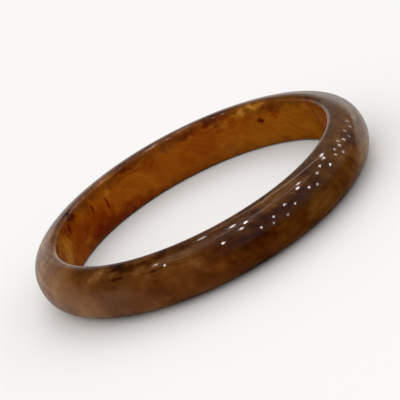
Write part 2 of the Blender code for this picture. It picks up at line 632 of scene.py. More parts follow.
@dataclass(frozen=True)
class Stone:
    """The stone itself, the same through the whole hoop. Lengths are in millimetres, colours linear."""

    # The bore's marks come first, then the crown's. Most are spots, wisps and clearings in the
    # stone, but some are painted light and shade: the long dark band along the upper crown at
    # clock 8 is painted shade, and the lighter patch low on the crown at clock -60 is painted
    # light bounced up from the floor. With more than about 60 of them the material gets
    # too large to be drawn, and the hoop comes out black.
    marks: tuple[Mark, ...] = (
        Mark(139.8, 0.9, 1.15, 0.8, 1.2),
        Mark(132, 3.0, 2.6, 1.0, 0.4),
        Mark(147.5, 3.6, 2.4, 0.6, -0.30),
        Mark(156, 2.7, 1.7, 0.9, -0.35),
        Mark(162.5, 4.3, 2.6, 0.45, 0.6),
        Mark(172, 3.7, 2.6, 0.45, 0.5),
        Mark(202, 4.2, 3.4, 0.45, 0.5),
        Mark(237, 4.4, 2.2, 0.8, 1.2),
        Mark(256, -1.0, 7.5, 0.9, -0.40),
        Mark(238, 0.0, 6.0, 1.0, 0.16),
        Mark(228, -1.2, 6.5, 0.8, 0.28),
        Mark(221, -4.0, 9.0, 0.5, 0.55),
        Mark(203, -4.8, 10.0, 0.35, 0.45),
        Mark(213, 4.9, 4.5, 0.3, -0.32),
        Mark(139, 4.9, 4.5, 0.4, -0.40),
        Mark(170, 0.0, 6.0, 0.8, 0.14),
        Mark(216, 0.9, 0.5, 4.0, 1.1),
        Mark(224, 2.0, 0.4, 5.0, 0.8),
        Mark(145, 3.9, 5.5, 0.4, -0.20),
        Mark(213.8, 2.6, 1.2, 1.2, -0.3),
        Mark(246, 3.1, 0.6, 3.0, 0.7),
        Mark(242.5, 3.0, 1.6, 0.9, 0.6),
        Mark(194.5, -1.4, 0.35, 1.0, -0.5),
        Mark(-44, 4.3, 4.5, 0.4, -0.22, 33.2),
        Mark(-57, 1.0, 8.0, 0.8, 0.16, 35.0),
        Mark(-60, -4.4, 11.0, 0.35, -0.14, 34.0),
        Mark(-27, -3.7, 9.0, 0.4, -0.28, 35.0),
        Mark(15, 2.4, 6.5, 0.45, 0.22, 34.5),
        Mark(29, 2.6, 7.5, 0.42, 0.46, 34.5),
        Mark(76, -3.0, 6.5, 0.6, -0.42, 35.0),
        Mark(11, -2.8, 6.5, 0.6, 0.17, 35.0),
        Mark(-36, 3.9, 3.2, 0.12, 0.55, 34.0),
        Mark(-23, 3.6, 3.6, 0.10, 0.5, 34.0),
        Mark(-75, 4.8, 6.5, 0.35, 0.18, 33.0),
        Mark(-38, 4.9, 4.0, 0.12, 0.45, 31.6),
        Mark(-30, 4.6, 4.5, 0.10, 0.5, 32.2),
        Mark(-20, 5.0, 5.0, 0.12, 0.35, 31.4),
        Mark(-36, 5.1, 5.5, 0.16, 0.36, 30.8),
        Mark(-15, 5.1, 7.5, 0.13, 0.30, 30.8),
        Mark(2, 5.0, 5.5, 0.12, 0.24, 31.4),
        Mark(10, 4.4, 4.5, 0.10, 0.30, 33.2),
        Mark(20, 4.9, 6.0, 0.25, -0.22, 31.8),
        Mark(36, 4.8, 4.5, 0.12, 0.25, 31.8),
        Mark(-47, 4.6, 3.0, 0.35, -0.22, 32.8),
        Mark(60, 2.8, 3.6, 0.7, 0.38, 34.4),
        Mark(82, -0.5, 7.0, 1.0, -0.16, 35.0),
        Mark(0, -2.4, 6.5, 0.7, 0.24, 34.8),
        Mark(-28.5, 4.2, 2.2, 0.6, -0.30, 32.5),
        Mark(-31.5, 2.6, 1.3, 0.6, 0.35, 33.5),
        Mark(-9, -1.5, 3.5, 0.8, 0.25, 35.0),
        Mark(8, 2.2, 14.0, 0.3, 0.34, 34.4),
        Mark(-19, -0.5, 7.0, 0.8, 0.2, 35.0),
        Mark(23, -1.4, 7.0, 0.6, 0.32, 35.0),
        Mark(88, 0.5, 5.5, 0.7, -0.22, 35.0),
        Mark(-80, -1.2, 7.0, 0.6, -0.12, 35.0),
        Mark(42, 0.4, 7.5, 0.6, 0.20, 35.0),
        Mark(64, -1.0, 10.0, 0.8, -0.16, 35.0),
    )
    fine_stray: float = 1.3
    wide_stray: float = 4.5
    wide_from: float = 3.3
    through_skin: Colour = (0.714, 0.584, 0.425)
    through_olive_skin: Colour = (0.706, 0.613, 0.45)
    # The bore's colours paint the warm glow of light coming through the stone
    bore_glow_per_mm: Colour = (0.819, 0.648, 0.36)
    olive_bore_glow_per_mm: Colour = (0.810, 0.668, 0.39)
    olive: float = 0.6
    bore_glow_reach: float = 0.7
    dull_bore_glow_end: float = 2.1
    fleck_strength: float = 0.75
    fleck_colour: Colour = (0.022, 0.007, 0.003)
    crack_strength: float = 0.35
    crack_colour: Colour = (0.20, 0.085, 0.028)
    shade_colour: Colour = (0.030, 0.017, 0.006)
    shade_densities: tuple[float, float] = (0.5, 1.0)
    depth_floor: float = 6.2
    depth_shade: float = 0.98
    cloud_size: float = 15.0
    layer_size: float = 1.6
    layer_strength: float = 0.03
    veil_strength: float = 0.14
    spread: float = 0.26
    rim_shade: float = 0.50
    crown_shade: float = 0.25
    streak_strength: float = 0.17
    painted_light_end: float = 0.39
    honey_clearing: float = 0.14
    fleck_spacing: float = 6.5
    fleck_share: float = 0.34
    fleck_size: float = 0.5
    crack_spacing: float = 15.0
    crack_width: float = 0.10
    glow_reach: Colour = (1.0, 0.6, 0.3)
    glow_length: float = 2.5 * MM
    glow_share: float = 0.8
    refraction: float = 1.54
    plain_colour: Colour = (0.1, 0.03, 0.008)


@dataclass(frozen=True)
class Polish:
    """How far one zone was polished, and what wear has done to it. Lengths are in millimetres."""

    zone: Zone
    roughness: float
    smear_roughness: float
    line_roughness: float
    line_width: float
    line_height: float
    hairline_share: float
    hairline_height: float
    pit_spacing: float
    pit_depth: float
    wave_height: float
    hairline_roughness: float = 0.12
    pit_roughness: float = 0.3
    crack_depth: float = 0.004
    stone: Stone = field(default_factory=Stone)

    def density(self, wiring: Wiring, place: Socket, figure: bpy.types.Node) -> Socket:
        """Builds how dense the stone is, from its figure and its marks.

        Args:
            wiring: The material's tree.
            place: Where on the stone it is read, in millimetres.
            figure: The smoky figure's node.

        Returns:
            The density, 1 on average.
        """
        stone = self.stone
        fine = wiring.stray(place, stone.fine_stray, detail=4.0, rough=0.65)
        wide = wiring.stray(place, stone.wide_stray, detail=5.0, rough=0.65)
        honey = figure.outputs["Honey"]
        density = wiring.math("MULTIPLY_ADD", honey, -stone.honey_clearing, figure.outputs["Density"])
        for mark in stone.marks:
            mask = mark.mask(wiring, place, fine if mark.size < stone.wide_from else wide)
            density = wiring.math("MULTIPLY_ADD", mask, mark.change, density)
        return density

    def colour(self, wiring: Wiring, place: Socket) -> tuple[Socket, Socket]:
        """Builds the stone's colour.

        Args:
            wiring: The material's tree.
            place: Where on the stone it is read, in millimetres.

        Returns:
            The base colour, and the mask of healed cracks.
        """
        stone = self.stone
        figure = SmokyFigure.place(
            wiring, place, cloud_size=stone.cloud_size, layer_size=stone.layer_size,
            layer_strength=stone.layer_strength, veil_strength=stone.veil_strength, spread=stone.spread,
            rim_shade=stone.rim_shade, streak_strength=stone.streak_strength,
        )
        density = self.density(wiring, place, figure)

        # Painted glow: the bore is warmer than the crown, standing in for light that comes
        # through the stone into it, and less so at the pale end
        flat = wiring.vector("MULTIPLY", place, (1.0, 1.0, 0.0))
        radius = wiring.vector("LENGTH", flat)
        inner = Hoop.inner_radius() / MM
        inward = wiring.ramp(radius, inner + stone.bore_glow_reach, inner, 0.0, 1.0)
        olive = wiring.math("MULTIPLY", figure.outputs["Olive"], stone.olive)
        skin = wiring.blend(olive, rgba(stone.through_skin), rgba(stone.through_olive_skin))
        bore = wiring.blend(olive, rgba(stone.bore_glow_per_mm), rgba(stone.olive_bore_glow_per_mm))
        glow_kept = wiring.math("MULTIPLY_ADD", figure.outputs["Pale"], -stone.dull_bore_glow_end, 1.0, clamp=True)
        painted_bore_glow = wiring.math("MULTIPLY", inward, glow_kept)
        through = wiring.blend(painted_bore_glow, skin, bore)
        # Painted light: the crown is made paler towards that end
        lit_outer_end = wiring.math("MULTIPLY", figure.outputs["Pale"], wiring.math("SUBTRACT", 1.0, inward))
        density = wiring.math("MULTIPLY_ADD", lit_outer_end, -stone.painted_light_end, density)

        # Thick stone behind the skin lets less light out
        depth = wiring.node("ShaderNodeAttribute", attribute_name=DEPTH_FIELD).outputs["Fac"]
        extra = wiring.math("SUBTRACT", wiring.math("MULTIPLY", depth, 1 / MM), stone.depth_floor)
        seen = DepthColour.place(
            wiring, place, depth=stone.depth_floor, density=density, per_mm=through, extra_depth=extra,
            shade_per_mm=stone.depth_shade,
        )

        flecks = MossFlecks.place(
            wiring, place, spacing=stone.fleck_spacing, share=stone.fleck_share, size=stone.fleck_size
        )
        cracks = HealedCracks.place(wiring, place, spacing=stone.crack_spacing, width=stone.crack_width)
        fleck_share = wiring.math("MULTIPLY", flecks.outputs["Mask"], stone.fleck_strength)
        crack_share = wiring.math("MULTIPLY", cracks.outputs["Mask"], stone.crack_strength)
        # Painted shade: the band's sides are blended towards the dark shade colour, less on the crown and
        # less where the stone is clearer
        shown = wiring.ramp(inward, 0.0, 1.0, stone.crown_shade, 1.0)
        shade = wiring.math("MULTIPLY", figure.outputs["Shade"], shown)
        shade = wiring.math("MULTIPLY", shade, wiring.ramp(density, *stone.shade_densities))
        base = wiring.blend(shade, seen.outputs["Colour"], rgba(stone.shade_colour))
        base = wiring.blend(fleck_share, base, rgba(stone.fleck_colour))
        base = wiring.blend(crack_share, base, rgba(stone.crack_colour))
        return base, cracks.outputs["Mask"]

    def surface(self, wiring: Wiring, place: Socket, cracks: Socket) -> tuple[Socket, Socket]:
        """Builds the polished skin.

        Args:
            wiring: The material's tree.
            place: Where on the stone it is read, in millimetres.
            cracks: The mask of healed cracks.

        Returns:
            The roughness and the normal.
        """
        marks = PolishMarks.place(
            wiring, place, line_width=self.line_width, hairline_share=self.hairline_share,
            pit_spacing=self.pit_spacing,
        )
        rough = wiring.math("MULTIPLY_ADD", marks.outputs["Smears"], self.smear_roughness, self.roughness)
        rough = wiring.math("MULTIPLY_ADD", marks.outputs["Lines"], self.line_roughness, rough)
        rough = wiring.math("MULTIPLY_ADD", marks.outputs["Hairlines"], self.hairline_roughness, rough)
        rough = wiring.math("MULTIPLY_ADD", marks.outputs["Pits"], self.pit_roughness, rough, clamp=True)

        height = wiring.math("MULTIPLY", marks.outputs["Waves"], self.wave_height)
        height = wiring.math("MULTIPLY_ADD", marks.outputs["Lines"], self.line_height, height)
        height = wiring.math("MULTIPLY_ADD", marks.outputs["Hairlines"], -self.hairline_height, height)
        height = wiring.math("MULTIPLY_ADD", marks.outputs["Pits"], -self.pit_depth, height)
        height = wiring.math("MULTIPLY_ADD", cracks, -self.crack_depth, height)
        bump = wiring.node("ShaderNodeBump", {"Height": height, "Strength": 1.0, "Distance": MM})
        return rough, bump.outputs["Normal"]

    def material(self) -> bpy.types.Material:
        """Makes the zone's material the first time that it is asked for.

        Returns:
            The material.
        """
        made = bpy.data.materials.get(self.zone.value)
        if made is not None:
            return made
        made = bpy.data.materials.new(self.zone.value)
        made.use_nodes = True
        wiring = Wiring(made.node_tree)
        shader = made.node_tree.nodes["Principled BSDF"]
        where = wiring.node("ShaderNodeTexCoord").outputs["Object"]
        place = wiring.vector("SCALE", where, scale=1 / MM)
        base, cracks = self.colour(wiring, place)
        rough, normal = self.surface(wiring, place, cracks)
        wiring.feed(shader.inputs["Base Color"], base)
        wiring.feed(shader.inputs["Roughness"], rough)
        wiring.feed(shader.inputs["Normal"], normal)
        shader.inputs["IOR"].default_value = self.stone.refraction
        shader.inputs["Subsurface Weight"].default_value = self.stone.glow_share
        shader.inputs["Subsurface Radius"].default_value = self.stone.glow_reach
        shader.inputs["Subsurface Scale"].default_value = self.stone.glow_length
        made.diffuse_color = rgba(self.stone.plain_colour)
        return made


CROWN_POLISH = Polish(
    zone=Zone.CROWN,
    roughness=0.035,
    smear_roughness=0.05,
    line_roughness=0.02,
    line_width=0.16,
    line_height=0.0006,
    hairline_share=0.45,
    hairline_height=0.0015,
    pit_spacing=2.4,
    pit_depth=0.008,
    wave_height=0.003,
)

BORE_POLISH = Polish(
    zone=Zone.BORE,
    roughness=0.09,
    smear_roughness=0.06,
    line_roughness=0.07,
    line_width=0.11,
    line_height=0.0016,
    hairline_share=0.7,
    hairline_height=0.002,
    pit_spacing=1.9,
    pit_depth=0.010,
    wave_height=0.008,
)


@dataclass
class Hoop:
    """The whole bangle, one solid ring of stone. Lengths are in metres."""

    edge_width: float = 1.0 * MM
    edge_height: float = 0.65 * MM
    side_land: float = 0.6 * MM
    crown_power: float = 2.2
    crown_break: float = math.radians(84)
    bore_share: float = 0.19
    round_share: float = 0.17
    land_share: float = 0.10
    segments: int = 720
    steps: int = 132
    ripple_height: float = 0.030 * MM
    ripple_size: float = 9.0 * MM
    seed: float = 4.0
    seam_reach: float = 0.002 * MM
    ray_start: float = 0.05 * MM
    depth_blur: int = 6
    map_strips: int = 3
    map_margin: float = 0.004
    crown: Polish = CROWN_POLISH
    bore: Polish = BORE_POLISH
    name: str = "bangle_hoop"

    @staticmethod
    def radii() -> list[float]:
        """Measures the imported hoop.

        Returns:
            How far each of its corners is from its axis.
        """
        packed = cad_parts[HOOP_NODE]
        corners = (packed.matrix_world @ corner.co for corner in packed.data.vertices)
        return [math.hypot(corner.x, corner.y) for corner in corners]

    @classmethod
    def inner_radius(cls) -> float:
        """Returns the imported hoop's inner radius."""
        return min(cls.radii())

    def tree_inputs(self) -> dict[str, Feed]:
        """Gathers the tree's named inputs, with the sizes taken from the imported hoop.

        Returns:
            Each input's value by name.
        """
        low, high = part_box(HOOP_NODE)
        radii = self.radii()
        return {
            "Inner Radius": min(radii),
            "Wall": max(radii) - min(radii),
            "Band Width": high[2] - low[2],
            "Foot": low[2],
            "Edge Width": self.edge_width,
            "Edge Height": self.edge_height,
            "Side Land": self.side_land,
            "Crown Power": self.crown_power,
            "Crown Break": self.crown_break,
            "Bore Share": self.bore_share,
            "Round Share": self.round_share,
            "Land Share": self.land_share,
            "Segments": self.segments,
            "Steps": self.steps,
            "Ripple Height": self.ripple_height,
            "Ripple Size": self.ripple_size,
            "Seed": self.seed,
            "Crown Finish": self.crown.material(),
            "Bore Finish": self.bore.material(),
        }

    def section(self, wiring: Wiring, given: Sockets, across: Socket) -> tuple[Socket, Socket]:
        """Builds the D-shaped section.

        Args:
            wiring: The geometry tree.
            given: The tree's inputs by name.
            across: From -1 to 1 round the section, 0 in the middle of the bore.

        Returns:
            The radius, and the height above the middle of the band.
        """
        way = wiring.math("ABSOLUTE", across)
        round_start = given["Bore Share"]
        land_start = wiring.math("ADD", round_start, given["Round Share"])
        crown_start = wiring.math("ADD", land_start, given["Land Share"])
        on_bore = wiring.ramp(way, 0.0, round_start, smooth=False)
        on_round = wiring.ramp(way, round_start, land_start, smooth=False)
        on_land = wiring.ramp(way, land_start, crown_start, smooth=False)
        on_crown = wiring.ramp(way, crown_start, 1.0, smooth=False)

        half = wiring.math("MULTIPLY", given["Band Width"], 0.5)
        flat = wiring.math("SUBTRACT", half, given["Edge Height"])
        bend = wiring.math("MULTIPLY", on_round, math.pi / 2)
        root = wiring.math("DIVIDE", 2.0, given["Crown Power"])
        fall = wiring.math("MULTIPLY", given["Crown Break"], wiring.math("SUBTRACT", 1.0, on_crown))

        # Height: up the bore and round the edge, then down the crown
        rise = wiring.math("MULTIPLY", flat, on_bore)
        rise = wiring.math("MULTIPLY_ADD", given["Edge Height"], wiring.math("SINE", bend), rise)
        slide = wiring.math("DIVIDE", wiring.math("SINE", fall), wiring.math("SINE", given["Crown Break"]))
        height = wiring.math("MULTIPLY", rise, wiring.math("POWER", slide, root))
        height = wiring.math("MULTIPLY", height, wiring.math("SIGN", across))

        # Radius: out round the edge, along the land, then out over the crown
        bulge = wiring.math("POWER", wiring.math("COSINE", fall), root)
        start = wiring.math("POWER", wiring.math("COSINE", given["Crown Break"]), root)
        bulge = wiring.ramp(bulge, start, 1.0, smooth=False)
        side = wiring.math("ADD", given["Edge Width"], given["Side Land"])
        depth = wiring.math("SUBTRACT", given["Wall"], side)
        turn_out = wiring.math("SUBTRACT", 1.0, wiring.math("COSINE", bend))
        radius = wiring.math("MULTIPLY_ADD", given["Edge Width"], turn_out, given["Inner Radius"])
        radius = wiring.math("MULTIPLY_ADD", given["Side Land"], on_land, radius)
        radius = wiring.math("MULTIPLY_ADD", depth, bulge, radius)
        return radius, height

    def bake_place(self, wiring: Wiring, turn: Socket, across: Socket) -> Socket:
        """Lays the skin out flat, cut into strips that lie one above another.

        Args:
            wiring: The geometry tree.
            turn: From 0 to 1 round the hoop.
            across: From -1 to 1 round the section.

        Returns:
            The place on the flat map.
        """
        strips, margin = float(self.map_strips), self.map_margin
        scaled = wiring.math("MULTIPLY", turn, strips)
        feeds = {"Value": wiring.math("FLOOR", scaled)}
        strip = wiring.node("GeometryNodeFieldOnDomain", feeds, data_type="FLOAT", domain="FACE").outputs[0]
        along = wiring.math("SUBTRACT", scaled, strip)
        up = wiring.ramp(across, -1.0, 1.0, margin, 1.0 - margin, smooth=False)
        up = wiring.math("DIVIDE", wiring.math("ADD", strip, up), strips)
        along = wiring.ramp(along, 0.0, 1.0, margin, 1.0 - margin, smooth=False)
        return wiring.node("ShaderNodeCombineXYZ", {0: along, 1: up}).outputs[0]

    def tree(self) -> bpy.types.NodeTree:
        """Builds the Geometry Nodes tree that makes the hoop.

        Returns:
            The tree, with a named input for each size.
        """
        tree = bpy.data.node_groups.new("Hoop by rule", "GeometryNodeTree")
        kinds = {float: "NodeSocketFloat", int: "NodeSocketInt", bpy.types.Material: "NodeSocketMaterial"}
        for name, value in self.tree_inputs().items():
            tree.interface.new_socket(name=name, in_out="INPUT", socket_type=kinds[type(value)])
        tree.interface.new_socket(name="Hoop", in_out="OUTPUT", socket_type="NodeSocketGeometry")
        wiring = Wiring(tree)
        entry = wiring.node("NodeGroupInput")
        given = {socket.name: socket for socket in entry.outputs if socket.name}

        # A flat grid: its length goes round the hoop, and its width round the section
        grid = wiring.node("GeometryNodeMeshGrid", {
            "Size X": 1.0,
            "Size Y": 2.0,
            "Vertices X": wiring.math("ADD", given["Segments"], 1),
            "Vertices Y": wiring.math("ADD", given["Steps"], 1),
        })
        place = wiring.node("GeometryNodeInputPosition").outputs[0]
        spot = wiring.node("ShaderNodeSeparateXYZ", {0: place})
        turn = wiring.math("ADD", spot.outputs[0], 0.5)
        across = spot.outputs[1]
        flat_map = self.bake_place(wiring, turn, across)
        mesh = self.store(wiring, grid.outputs["Mesh"], BAKE_MAP, flat_map, "FLOAT2", "CORNER")
        mesh = self.store(wiring, mesh, ACROSS_FIELD, across, "FLOAT", "POINT")

        # The grid is bent into the hoop, and both of its seams are closed
        radius, height = self.section(wiring, given, across)
        angle = wiring.math("MULTIPLY", turn, -2 * math.pi)
        middle = wiring.math("MULTIPLY_ADD", given["Band Width"], 0.5, given["Foot"])
        bent = wiring.node("ShaderNodeCombineXYZ", {
            0: wiring.math("MULTIPLY", radius, wiring.math("COSINE", angle)),
            1: wiring.math("MULTIPLY", radius, wiring.math("SINE", angle)),
            2: wiring.math("ADD", height, middle),
        }).outputs[0]
        hoop = wiring.node("GeometryNodeSetPosition", {"Geometry": mesh, "Position": bent}).outputs[0]
        hoop = wiring.node("GeometryNodeMergeByDistance", {
            "Geometry": hoop,
            "Distance": self.seam_reach,
        }).outputs[0]

        # Hand polishing leaves the skin very slightly wavy, always inside the true size
        place = wiring.node("GeometryNodeInputPosition").outputs[0]
        out = wiring.node("GeometryNodeInputNormal").outputs[0]
        lumps = wiring.node("ShaderNodeTexNoise", {
            "Vector": place,
            "W": given["Seed"],
            "Scale": wiring.math("DIVIDE", 1.0, given["Ripple Size"]),
            "Detail": 1.0,
        }, noise_dimensions="4D").outputs[0]
        sunk = wiring.math("MULTIPLY", lumps, wiring.math("MULTIPLY", given["Ripple Height"], -1.0))
        hoop = wiring.node("GeometryNodeSetPosition", {
            "Geometry": hoop,
            "Offset": wiring.vector("SCALE", out, scale=sunk),
        }).outputs[0]
        behind = self.depth_behind(wiring, hoop, given)
        hoop = self.store(wiring, hoop, DEPTH_FIELD, behind, "FLOAT", "POINT")

        # Smooth, then a finish for each zone
        hoop = wiring.node("GeometryNodeSetShadeSmooth", {
            "Geometry": hoop,
            "Shade Smooth": True,
        }).outputs[0]
        hoop = wiring.node("GeometryNodeRealizeInstances", {"Geometry": hoop}).outputs[0]
        hoop = wiring.node("GeometryNodeSetMaterial", {
            "Geometry": hoop,
            "Material": given["Crown Finish"],
        }).outputs[0]
        feeds = {"Name": ACROSS_FIELD}
        way = wiring.node("GeometryNodeInputNamedAttribute", feeds, data_type="FLOAT").outputs[0]
        in_bore = wiring.math("LESS_THAN", wiring.math("ABSOLUTE", way), given["Bore Share"])
        hoop = wiring.node("GeometryNodeSetMaterial", {
            "Geometry": hoop,
            "Selection": in_bore,
            "Material": given["Bore Finish"],
        }).outputs[0]
        wiring.node("NodeGroupOutput", {"Hoop": hoop})
        return tree

    @staticmethod
    def store(wiring: Wiring, mesh: Socket, name: str, value: Socket, kind: str, domain: str) -> Socket:
        """Stores a named attribute on a mesh.

        Args:
            wiring: The geometry tree.
            mesh: The mesh.
            name: The attribute's name.
            value: What it holds.
            kind: Its type.
            domain: Whether it sits on points or on corners.

        Returns:
            The mesh with the attribute on it.
        """
        feeds = {"Geometry": mesh, "Name": name, "Value": value}
        made = wiring.node("GeometryNodeStoreNamedAttribute", feeds, data_type=kind, domain=domain)
        return made.outputs[0]

    def depth_behind(self, wiring: Wiring, hoop: Socket, given: Sockets) -> Socket:
        """Measures how thick the stone is straight behind each point of the skin.

        Args:
            wiring: The geometry tree.
            hoop: The skin.
            given: The tree's inputs by name.

        Returns:
            The thickness, evened out a little.
        """
        place = wiring.node("GeometryNodeInputPosition").outputs[0]
        out = wiring.node("GeometryNodeInputNormal").outputs[0]
        sunk = wiring.vector("SCALE", out, scale=-self.ray_start)
        ray = wiring.node("GeometryNodeRaycast", {
            "Target Geometry": hoop,
            "Source Position": wiring.vector("ADD", place, sunk),
            "Ray Direction": wiring.vector("SCALE", out, scale=-1.0),
            "Ray Length": given["Band Width"],
        })
        hit = wiring.node("GeometryNodeSwitch", {
            "Switch": ray.outputs["Is Hit"],
            "False": given["Band Width"],
            "True": ray.outputs["Hit Distance"],
        }, input_type="FLOAT").outputs[0]
        feeds = {"Value": hit, "Iterations": self.depth_blur}
        return wiring.node("GeometryNodeBlurAttribute", feeds, data_type="FLOAT").outputs[0]

    def build(self) -> bpy.types.Object:
        """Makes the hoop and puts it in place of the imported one.

        Returns:
            The finished piece.
        """
        piece = bpy.data.objects.new(self.name, bpy.data.meshes.new(self.name))
        bpy.context.scene.collection.objects.link(piece)
        modifier = piece.modifiers.new("Hoop by rule", "NODES")
        modifier.node_group = self.tree()
        values = self.tree_inputs()
        for item in modifier.node_group.interface.items_tree:
            if item.in_out == "INPUT":
                modifier[item.identifier] = values[item.name]

        graph = bpy.context.evaluated_depsgraph_get()
        mesh = bpy.data.meshes.new_from_object(
            piece.evaluated_get(graph), preserve_all_data_layers=True, depsgraph=graph
        )
        piece.modifiers.remove(modifier)
        piece.data = mesh
        mesh.name = self.name
        mesh.materials.pop(index=list(mesh.materials).index(None))
        mesh.uv_layers[BAKE_MAP].active_render = True

        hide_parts(HOOP_NODE)
        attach(piece, "root")
        faces = sum(len(polygon.vertices) - 2 for polygon in mesh.polygons)
        finishes = [each.name for each in mesh.materials]
        log.info("%s: %d triangles, materials %s", piece.name, faces, finishes)
        return piece


@dataclass(frozen=True)
class Viewpoint:
    """Where the photograph was taken from. Angles are in radians."""

    elevation: float = math.radians(19.7)
    roll: float = math.radians(28.04)
    distance_in_radii: float = 10.48
    photo_lens: float = 67.2
    enlargement: float = 2.555
    sensor: float = 36.0
    clip_start: float = 0.01
    clip_end: float = 50.0

    def back(self) -> Vector:
        """Returns the direction from the bangle to the camera."""
        return Vector((0.0, -math.cos(self.elevation), math.sin(self.elevation)))

    def place(self, centre: Vector, radius: float) -> Vector:
        """Returns the camera's place, from the hoop's centre and outer radius."""
        return centre + self.back() * (self.distance_in_radii * radius)

    def build(self, centre: Vector, radius: float) -> bpy.types.Object:
        """Makes the camera.

        Args:
            centre: The middle of the hoop, which it looks at.
            radius: The hoop's outer radius.

        Returns:
            The scene's camera.
        """
        back = self.back()
        level = Vector((1.0, 0.0, 0.0))
        upright = back.cross(level)
        right = math.cos(self.roll) * level - math.sin(self.roll) * upright
        up = math.cos(self.roll) * upright + math.sin(self.roll) * level
        camera = bpy.data.objects.new("camera", bpy.data.cameras.new("camera"))
        camera.data.sensor_width = self.sensor
        camera.data.lens = self.photo_lens * self.enlargement
        camera.data.clip_start = self.clip_start
        camera.data.clip_end = self.clip_end
        turn = Matrix((right, up, back)).transposed().to_4x4()
        camera.matrix_world = Matrix.Translation(self.place(centre, radius)) @ turn
        bpy.context.scene.collection.objects.link(camera)
        bpy.context.scene.camera = camera
        return camera


@dataclass(frozen=True)
class Glint:
    """Where a small lamp is mirrored in the crown.

    The clock is how far round from the near side, and the pitch how steep the skin
    is there, both in degrees.
    """

    clock: float
    pitch: float
    strength: float = 1.0
    wide: float = 1.0


@dataclass(frozen=True)
class Strip:
    """A long lamp that the crown mirrors as a pale line from one place to another."""

    start: Glint
    end: Glint
    width: float
    radiance: float


@dataclass
class LampRows:
    """Small tubular lamps, each hung where the crown mirrors it into the camera."""

    distance: float = 0.7
    width: float = 0.015
    length: float = 0.125
    radiance: float = 20.0
    colour: Colour = (1.0, 0.95, 0.92)
    crown_share: float = 0.95
    slope_step: float = 2.0
    glints: tuple[Glint, ...] = (
        Glint(-22, 55, 0.6),
        Glint(-19, 46, 0.8),
        Glint(-5, 73, 0.28, 1.3),
        Glint(0, 36, 1.2, 1.3),
        Glint(5, 62, 0.7, 1.5),
        Glint(9, 53, 1.2, 1.2),
        Glint(7, 45, 0.8, 1.7),
        Glint(12, 23, 0.8),
        Glint(17, 28, 0.7),
        Glint(16, 17, 0.3),
        Glint(21, 14, 0.25),
        Glint(22, 36, 0.8),
        Glint(25, 24, 0.5),
        Glint(29, 48, 0.9, 1.5),
        Glint(30.5, 56, 0.5, 1.4),
        Glint(32, 32, 0.9),
        Glint(35, 25, 0.5),
        Glint(44, 36, 0.8),
        Glint(45, 58, 0.5, 1.2),
        Glint(46, 67, 0.4, 1.2),
        Glint(52, 31, 0.27),
        Glint(54, 47, 0.31),
        Glint(58, 46, 0.24),
        Glint(67, 46, 0.11),
        Glint(38, 44, 0.5),
        Glint(41, 52, 0.5),
        Glint(49, 41, 0.3),
        Glint(51, 51, 0.24),
        Glint(56, 56, 0.14),
        Glint(61, 38, 0.10),
        Glint(63, 53, 0.11),
        Glint(70, 55, 0.07),
        Glint(74, 44, 0.05),
    )
    strips: tuple[Strip, ...] = (
        Strip(Glint(-8, 80), Glint(44, 68), 0.07, 0.9),
        Strip(Glint(-6, 54), Glint(36, 53), 0.05, 1.3),
    )

    def mirrored(
        self, glint: Glint, eye: Vector, centre: Vector, radius: float, steeper: float = 0.0
    ) -> tuple[Vector, Vector]:
        """Finds where a lamp has to hang.

        Args:
            glint: Where on the crown it should show.
            eye: The camera's place.
            centre: The middle of the hoop.
            radius: The hoop's outer radius.
            steeper: Degrees added to the skin's steepness.

        Returns:
            The point on the crown, and the direction from there to the lamp.
        """
        clock = math.radians(glint.clock)
        pitch = math.radians(glint.pitch + steeper)
        level = Vector((math.sin(clock), -math.cos(clock), 0.0))
        normal = level * math.cos(pitch) + Vector((0.0, 0.0, math.sin(pitch)))
        spot = centre + level * (radius * self.crown_share)
        view = (eye - spot).normalized()
        return spot, (2 * normal.dot(view) * normal - view).normalized()

    def build(self, eye: Vector, centre: Vector, radius: float) -> list[bpy.types.Object]:
        """Makes the lamps, which show only as glints.

        Args:
            eye: The camera's place.
            centre: The middle of the hoop.
            radius: The hoop's outer radius.

        Returns:
            The lamps.
        """
        made = []
        for number, glint in enumerate(self.glints):
            spot, aim = self.mirrored(glint, eye, centre, radius)
            beside = self.mirrored(glint, eye, centre, radius, steeper=self.slope_step)[1]
            along = (beside - aim * beside.dot(aim)).normalized()
            size = (self.width * glint.wide, self.length)
            place = spot + aim * self.distance
            radiance = self.radiance * glint.strength
            made.append(self.lamp(f"glint_lamp_{number:02d}", place, aim, along, size, radiance))
        for number, strip in enumerate(self.strips):
            ends = [self.mirrored(end, eye, centre, radius) for end in (strip.start, strip.end)]
            start, end = (spot + aim * self.distance for spot, aim in ends)
            middle = (start + end) / 2
            aim = (middle - centre).normalized()
            across = aim.cross(end - start).normalized()
            size = ((end - start).length, strip.width)
            made.append(self.lamp(f"strip_lamp_{number}", middle, aim, across, size, strip.radiance))
        return made

    def lamp(
        self,
        name: str,
        place: Vector,
        aim: Vector,
        upright: Vector,
        size: tuple[float, float],
        radiance: float,
    ) -> bpy.types.Object:
        """Makes one lamp that only gloss sees.

        Args:
            name: The lamp's name.
            place: Where it hangs.
            aim: The direction from the bangle to it.
            upright: The direction of its second side.
            size: Its two sides, in metres.
            radiance: How bright its face is.

        Returns:
            The lamp.
        """
        light = bpy.data.lights.new(name, "AREA")
        light.shape = "ELLIPSE"
        light.size, light.size_y = size
        light.color = self.colour
        area = math.pi / 4 * light.size * light.size_y
        light.energy = radiance * math.pi * area
        lamp = bpy.data.objects.new(name, light)
        turn = Matrix((upright.cross(aim), upright, aim)).transposed().to_4x4()
        lamp.matrix_world = Matrix.Translation(place) @ turn
        lamp.visible_diffuse = False
        lamp.visible_transmission = False
        bpy.context.scene.collection.objects.link(lamp)
        return lamp


